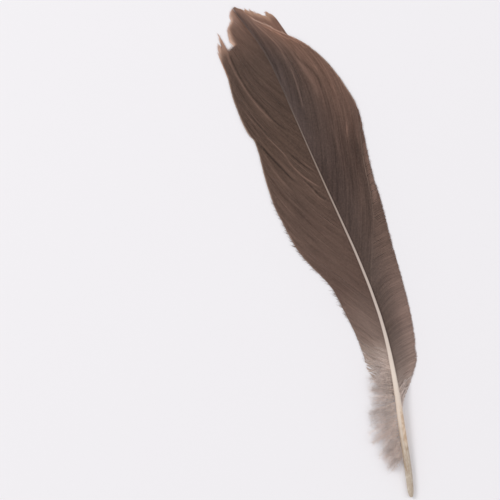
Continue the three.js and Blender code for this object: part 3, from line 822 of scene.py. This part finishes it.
def shaft_material():
    g = Nodes("shaft_horn")
    along, turn = g.attr("along"), g.attr("turn")
    base = g.ramp(along, stops((12, (190, 176, 159)), (28, (228, 212, 197)), (42, (236, 222, 209)), (60, (209, 194, 185)),
                               (88, (186, 170, 161)), (112, (151, 133, 122)), (148, (71, 56, 50))))
    fibre = g.noise(g.vec(g.math("MULTIPLY", turn, 9.0), g.math("MULTIPLY", along, 9.0), 1.0), 2.0, 3.0, 0.6)
    colour = g.mix(g.span(fibre, 0.35, 0.8, 0.0, 0.30), base, srgb(186, 158, 132), "MULTIPLY")
    # dried pith seen through the bare quill: uneven cross bands
    rings = g.noise(g.vec(g.math("MULTIPLY", along, 70.0), g.math("MULTIPLY", turn, 0.6), 5.0), 1.6, 2.0, 0.55)
    bare = g.span(along, at(27), at(16), 0.0, 0.85)
    colour = g.mix(g.math("MULTIPLY", bare, g.span(rings, 0.5, 0.70, 0.0, 0.75)), colour, srgb(160, 132, 102))
    colour = g.mix(g.math("MULTIPLY", bare, g.span(rings, 0.46, 0.30, 0.0, 0.65)), colour, srgb(222, 212, 198))
    streaks = g.noise(g.vec(g.math("MULTIPLY", turn, 2.6), g.math("MULTIPLY", along, 5.0), 9.0), 1.0, 2.0, 0.5)
    colour = g.mix(g.math("MULTIPLY", bare, g.span(streaks, 0.50, 0.66, 0.0, 0.6)), colour, srgb(170, 142, 112))
    pith = g.math("MULTIPLY", g.span(turn, -0.10, 0.30), g.math("MULTIPLY", g.span(along, at(33), at(28)), g.span(along, at(16), at(20))))
    colour = g.mix(g.math("MULTIPLY", pith, 0.85), colour,
                   g.mix(g.span(rings, 0.40, 0.60), srgb(224, 200, 176), srgb(200, 170, 140)))
    # a shadowed side, where the rachis turns down into the vane
    side = g.math("ADD", g.math("ABSOLUTE", turn), g.span(along, at(60), at(118), 0.0, 0.20))
    edge = g.math("MULTIPLY", g.span(side, 0.66, 0.98), g.span(along, at(30), at(70), 0.0, 0.85))
    colour = g.mix(edge, colour, g.mix(g.span(along, at(60), at(100)), srgb(136, 120, 111), srgb(106, 88, 80)))
    height = g.math("ADD", g.math("MULTIPLY", fibre, 0.7), g.math("MULTIPLY", rings, 0.3))
    g.principled(colour, g.span(fibre, 0.3, 0.7, 0.32, 0.46), Specular_IOR_Level=0.45, Coat_Weight=0.10, Coat_Roughness=0.3,
                 Normal=g.bump(height, 0.35, 0.00006))
    return g.mat


def down_material():
    g = Nodes("down")
    depth, tone = g.attr("out"), g.attr("tone")
    base = g.ramp(depth, [(0.0, srgb(239, 220, 209)), (0.5, srgb(235, 218, 210)), (1.0, srgb(242, 229, 223))])
    place = g.add("ShaderNodeTexCoord").outputs["Object"]
    blotch = g.noise(place, 320.0, 3.0, 0.6)
    value = g.math("ADD", g.math("MULTIPLY", tone, 0.09), g.span(blotch, 0.3, 0.7, 0.82, 1.04))
    colour = g.mix(1.0, base, g.vec(value, value, value), "MULTIPLY")
    g.principled(colour, g.span(blotch, 0.3, 0.7, 0.8, 0.92), Specular_IOR_Level=0.2, Sheen_Weight=0.2, Sheen_Roughness=0.5)
    return g.mat


# ------------------------------------------------------------------ shaft
def build_shaft():
    sides = 28
    ys = np.concatenate([[0.0, 0.05, 0.18, 0.4, 0.75, 1.2, 1.8, 2.5, 3.4], np.linspace(4.4, 177.4, 250), [177.6, 177.75]])
    a = slope_heading(ys)
    across = np.stack([np.cos(a), -np.sin(a)], -1)
    w, h = shaft_w(ys) / 2, shaft_h(ys) / 2
    w[:1] *= 0.35
    h[:1] *= 0.35
    w[-1] *= 0.25
    h[-1] *= 0.25
    u = (np.arange(sides) + 0.5) / sides * 2 * np.pi
    f = np.clip((ys - 24) / 26, 0, 1)
    f = (f * f * (3 - 2 * f))[:, None]
    e = 1 - 0.30 * f
    c = np.sign(np.cos(u)) * np.abs(np.cos(u)) ** e
    s = np.sign(np.sin(u)) * np.abs(np.sin(u)) ** e
    # a groove runs along the underside of the rachis
    groove = np.exp(-((c / 0.34) ** 2)) * (s < 0) * 0.30 * np.clip((ys[:, None] - 34) / 18, 0, 1)
    ripple = 0.012 * np.sin(ys * 1.9)[:, None] * np.clip((30 - ys) / 8, 0, 1)[:, None]
    x = shaft_x(ys)[:, None] + across[:, :1] * c * w[:, None]
    y = ys[:, None] + across[:, 1:] * c * w[:, None]
    sunk = np.interp(ys, [132, 147, 172, 177], [0.0, 0.18, 0.18, 0.08])[:, None]
    z = np.maximum(shaft_z(ys)[:, None] + (s + groove) * h[:, None] + ripple * s - sunk, 0.05)
    rings = np.stack([x, y, z], -1)[None]
    verts, faces, uv = loft(rings[:, :, ::-1, :])
    rep = lambda v: np.broadcast_to(v, (len(ys), sides)).reshape(-1)
    return make_mesh("quill_shaft_fine", verts, faces, {"along": rep(ys[:, None] / 180), "turn": rep(c[:, ::-1])}, uv)


# ------------------------------------------------------------------ down
def tube(points, radius, k):
    """Round tubes along paths (n, m, 3) with radii (n, m)."""
    tang = tangents(points)
    s1 = np.cross(tang, np.array([0.13, 0.21, 0.97]))
    s1 /= np.linalg.norm(s1, axis=2, keepdims=True) + 1e-12
    s2 = np.cross(tang, s1)
    ang = np.arange(k) / k * 2 * np.pi
    rings = points[:, :, None, :] + radius[:, :, None, None] * (
        s1[:, :, None, :] * np.cos(ang)[:, None] + s2[:, :, None, :] * np.sin(ang)[:, None])
    rings[..., 2] = np.maximum(rings[..., 2], 0.02)
    return rings


def fluff(side, barbs, hairs, seed, name, per_mm=5.5, reach=1.7):
    """Downy barbs with barbules along both sides, and finer loose hairs between them.
    barbs and hairs are lists of (start, middle, end, waviness) in mm."""
    r = np.random.default_rng(seed)
    m = 24
    t = np.linspace(0, 1, m)[:, None]
    mains, tones, twigs, twig_at, twig_tone = [], [], [], [], []
    for start, mid, end, wave in barbs:
        p = (1 - t) ** 2 * start + 2 * (1 - t) * t * mid + t**2 * end
        ph = r.uniform(0, 6.28, 3)
        p = p + np.stack([np.sin(t[:, 0] * 9 + ph[0]), np.sin(t[:, 0] * 8 + ph[1]), np.sin(t[:, 0] * 7 + ph[2])], -1) * wave * t
        p[:, 2] = np.maximum(p[:, 2], 0.08)
        tone = r.normal()
        mains.append(p)
        tones.append(tone)
        tang = tangents(p)
        length = np.linalg.norm(np.diff(p, axis=0), axis=1).sum()
        count = int(per_mm * length)
        for k in range(count):
            f = 0.05 + 0.95 * (k + r.uniform()) / count
            j = min(int(f * (m - 1)), m - 2)
            g = f * (m - 1) - j
            o = p[j] * (1 - g) + p[j + 1] * g
            d = tang[j]
            sd = np.cross(d, [0, 0, 1])
            sd /= np.linalg.norm(sd) + 1e-9
            v = sd * (1 if k % 2 else -1) * 0.8 + d * (0.65 + 0.3 * r.normal()) + np.array([0, 0, r.normal() * 0.45])
            v /= np.linalg.norm(v)
            size = reach * (0.5 + 0.7 * r.uniform()) * (1 - 0.45 * f)
            q = np.linspace(0, 1, 4)[:, None]
            b = o + v * size * q + (d * 0.45 + r.normal(size=3) * 0.34) * size * q**2
            b[:, 2] = np.maximum(b[:, 2], 0.05)
            twigs.append(b)
            twig_at.append(f)
            twig_tone.append(tone + 0.5 * r.normal())
    loose, loose_tone = [], []
    for start, mid, end, wave in hairs:
        p = (1 - t) ** 2 * start + 2 * (1 - t) * t * mid + t**2 * end
        ph, fr = r.uniform(0, 6.28, 3), r.uniform(7, 16)
        p = p + np.stack([np.sin(t[:, 0] * fr + ph[0]), np.sin(t[:, 0] * fr * 0.8 + ph[1]), 0.6 * np.sin(t[:, 0] * fr + ph[2])], -1) * wave * t**0.7
        p[:, 2] = np.maximum(p[:, 2], 0.06)
        loose.append(p)
        loose_tone.append(0.8 + 1.0 * r.normal())
    pile = Pile()
    mains = np.array(mains)
    pile.add(tube(mains, np.interp(t[:, 0], [0, 0.6, 1], [0.075, 0.05, 0.02])[None] * np.ones((len(mains), 1)), 4),
             out=t.T, tone=np.array(tones)[:, None])
    if loose:
        pile.add(tube(np.array(loose), np.interp(t[:, 0], [0, 0.7, 1], [0.045, 0.04, 0.012])[None] * np.ones((len(loose), 1)), 3),
                 out=t.T, tone=np.array(loose_tone)[:, None])
    twigs = np.array(twigs)
    pile.add(tube(twigs, np.array([0.03, 0.027, 0.02, 0.009])[None] * np.ones((len(twigs), 1)), 3),
             out=np.array(twig_at)[:, None], tone=np.array(twig_tone)[:, None])
    return pile.build(name, 60)


def shaft_side(y, side, r, up=(-0.2, 0.35)):
    a = float(slope_heading(np.array(y)))
    o = side * float(shaft_w(y)) * 0.40
    return np.array([float(shaft_x(y)) + o * math.cos(a), y - o * math.sin(a), float(shaft_z(y)) + r.uniform(*up)])


def inner_tuft():
    r = np.random.default_rng(31)
    barbs, hairs = [], []
    wave = smooth_noise(70, 5, 88)
    for i in range(66):
        y = 13.8 + 29.0 * (i + r.uniform(-0.4, 0.4)) / 66
        start = shaft_side(max(y, 13.6), -1, r)
        f = np.clip((y - 14) / 29, 0, 1)
        reach = (6.6 + 3.6 * math.sin(math.pi * min(1, 0.12 + 0.86 * f))) * (1 + 0.09 * wave[i]) * r.uniform(0.66, 1.04)
        a = math.radians(122 - 56 * f + 5 * wave[i] + r.normal() * 7)
        end = start + np.array([-math.sin(a) * reach, math.cos(a) * reach, 0])
        end[0] = max(end[0], -6.2)
        end[2] = r.uniform(0.15, 2.1)
        mid = (start + end) / 2 + np.array([r.normal() * 0.5, 0.8 + r.normal() * 0.7, 0.9 + r.uniform(-0.3, 0.6)])
        barbs.append((start, mid, end, 0.26))
    for _ in range(210):
        y = r.uniform(13.8, 44)
        start = shaft_side(y, -1, r, (-0.4, 0.5))
        inward = r.uniform(0, 0.6)
        a = math.radians(120 - 56 * (y - 14) / 30 + r.normal() * 20)
        reach = r.uniform(3.5, 9.8)
        end = start + np.array([-math.sin(a) * reach, math.cos(a) * reach, 0])
        start = start * (1 - inward) + end * inward
        start[2] = max(start[2], 0.5) + 0.3
        end[0] = max(end[0], -6.6)
        end[2] = r.uniform(0.2, 2.6)
        mid = (start + end) / 2 + np.array([r.normal() * 1.1, r.normal() * 1.1, 0.7])
        hairs.append((start, mid, end, r.uniform(0.2, 0.6)))
    # downy barbs that lie over the first barbs of the vane
    for i in range(34):
        y = 37 + 14 * i / 34 + r.uniform(-0.3, 0.3)
        start = shaft_side(y, -1, r, (0.0, 0.2))
        a = math.radians(62 - 18 * i / 34 + r.normal() * 6)
        reach = r.uniform(5.0, 9.0) * (1 - 0.35 * i / 34)
        end = start + np.array([-math.sin(a) * reach, math.cos(a) * reach, 0])
        end[2] = float(vane_z(end[0], end[1], -1)) + r.uniform(0.05, 0.4)
        mid = (start + end) / 2
        mid[2] = float(vane_z(mid[0], mid[1], -1)) + r.uniform(0.2, 0.5)
        hairs.append((start, mid, end, 0.16))
        if i % 2 == 0 and i < 20:
            barbs.append((start + np.array([0, 0.4, 0]), mid, end, 0.16))
    return fluff(-1, barbs, hairs, 41, "inner_down_fine", 8.0, 2.0)


def outer_tuft():
    r = np.random.default_rng(32)
    barbs, hairs = [], []
    # short pale barbs that run along the lower margin of the outer vane
    for i in range(13):
        y = 29.6 + 6.6 * i / 12 + r.uniform(-0.2, 0.2)
        start = shaft_side(y, 1, r, (-0.3, 0.1))
        a = math.radians(40 + 14 * i / 12 + r.normal() * 3)
        reach = r.uniform(4.0, 6.6) * (0.75 + 0.35 * i / 12)
        end = start + np.array([math.sin(a) * reach, math.cos(a) * reach, 0])
        limit = float(EDGE[1](end[1])) - 0.15
        end[0] = min(end[0], limit)
        end[2] = float(vane_z(end[0], end[1], 1)) + r.uniform(0.0, 0.25)
        mid = (start + end) / 2 + np.array([0, 0.3, 0])
        mid[2] = (start[2] + end[2]) / 2 + 0.3
        barbs.append((start, mid, end, 0.08))
    for i in range(26):
        y = r.uniform(30, 38)
        start = shaft_side(y, 1, r, (-0.2, 0.3))
        a = math.radians(46 + 20 * (y - 30) / 8 + r.normal() * 8)
        reach = r.uniform(3.0, 7.0)
        end = start + np.array([math.sin(a) * reach, math.cos(a) * reach, 0])
        end[0] = min(end[0], float(EDGE[1](end[1])) - 0.1)
        end[2] = float(vane_z(end[0], end[1], 1)) + r.uniform(0.1, 0.4)
        mid = (start + end) / 2
        mid[2] = (start[2] + end[2]) / 2 + 0.4
        hairs.append((start, mid, end, 0.10))
    return fluff(1, barbs, hairs, 42, "outer_down_fine", 5.0, 0.9)


# ------------------------------------------------------------------ build the pieces
def ride(obj, material, node):
    obj.data.materials.append(material)
    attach(obj, "root")
    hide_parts(node)


ride(build_shaft(), shaft_material(), "quill_shaft")


def split(root, start, wide, power, line, reach, low, drop):
    return {"root": root, "from": start, "wide": wide, "power": power, "line": line, "reach": reach, "low": low, "drop": drop}


inner_pile = Pile()
vane(inner_pile, -1, 126.4, 177.9, 111, INNER_FIELD, "lobe", -0.13, [
    split(141.0, 0.30, 0.08, 2.0, 0.02, 2.0, 0.5, 0.04),
], 8)
vane(inner_pile, -1, 34.5, 128.0, 101, INNER_FIELD, "strip", 0.0, [
    split(99.6, 0.22, 0.10, 2.0, 0.03, 2.5, 0.5, 0.10),
    split(107.0, 0.12, 0.06, 2.0, 0.02, 2.0, 0.5, 0.05),
    split(112.0, 0.12, 0.06, 2.0, 0.02, 2.0, 0.5, 0.05),
    split(87.0, 0.45, 0.06, 2.0, 0.02, 2.0, 0.5, 0.04),
], 16)
margin_fringe(inner_pile)
ride(inner_pile.build("inner_vane_fine", 4), vane_material(-1), "inner_vane")
outer_pile = Pile()
vane(outer_pile, 1, 31.0, 77.0, 212, LOWER_FIELD, "lower", -0.10, [], 6)
outer_extras(outer_pile)
vane(outer_pile, 1, 72.0, 177.9, 202, UPPER_FIELD, "upper", 0.0, [
    split(93.0, 0.45, 0.06, 2.0, 0.02, 2.0, 0.5, 0.04),
    split(110.0, 0.20, 0.06, 2.0, 0.02, 2.0, 0.5, 0.04),
    split(123.0, 0.25, 0.06, 2.0, 0.02, 2.0, 0.5, 0.04),
], 20, m=35)
crest_hairs(outer_pile)
worn_margin(outer_pile)
ride(outer_pile.build("outer_vane_fine", 4), vane_material(1), "outer_vane")

down = down_material()
ride(inner_tuft(), down, "inner_down_tuft")
ride(outer_tuft(), down, "outer_down_tuft")

# ------------------------------------------------------------------ floor, light, camera
scene = bpy.context.scene
size = 3.0
floor_mesh = bpy.data.meshes.new("floor")
floor_mesh.from_pydata([(-size, -size, 0), (size, -size, 0), (size, size, 0), (-size, size, 0)], [], [(0, 1, 2, 3)])
floor = bpy.data.objects.new("floor", floor_mesh)
scene.collection.objects.link(floor)
g = Nodes("pale_floor")
g.principled(srgb(243, 241, 244), 0.9, Specular_IOR_Level=0.1)
floor_mesh.materials.append(g.mat)

world = bpy.data.worlds.new("studio")
scene.world = world
world.use_nodes = True
world.node_tree.nodes["Background"].inputs[0].default_value = (1.0, 0.995, 1.0, 1)
world.node_tree.nodes["Background"].inputs[1].default_value = 0.62


def area(name, location, side, power):
    data = bpy.data.lights.new(name, "AREA")
    data.shape = "SQUARE"
    data.size = side
    data.energy = power
    obj = bpy.data.objects.new(name, data)
    obj.location = location
    obj.rotation_euler = (-Vector(location)).to_track_quat("-Z", "Y").to_euler()
    scene.collection.objects.link(obj)


area("key", (-1.1, 1.1, 1.5), 0.8, 16.6)
area("fill", (1.2, -0.4, 1.8), 1.6, 8.3)

scene.view_settings.view_transform = "Standard"
scene.view_settings.look = "None"
scene.view_settings.exposure = 0.0
scene.view_settings.gamma = 1.0

# Straight down on the feather, turned by 20 degrees. The picture is 172.6 mm wide.
LENS = 200.0
WIDE = 172.58 * MM
cam_data = bpy.data.cameras.new("camera")
cam_data.lens = LENS
cam_data.sensor_width = 36.0
cam_data.sensor_fit = "HORIZONTAL"
cam_data.clip_start = 0.01
cam_data.clip_end = 20
cam = bpy.data.objects.new("camera", cam_data)
scene.collection.objects.link(cam)
cam.location = (-0.03224, 0.00955, WIDE * LENS / 36.0 + 0.002)
cam.rotation_euler = (0, 0, -math.radians(20.016))
scene.camera = cam
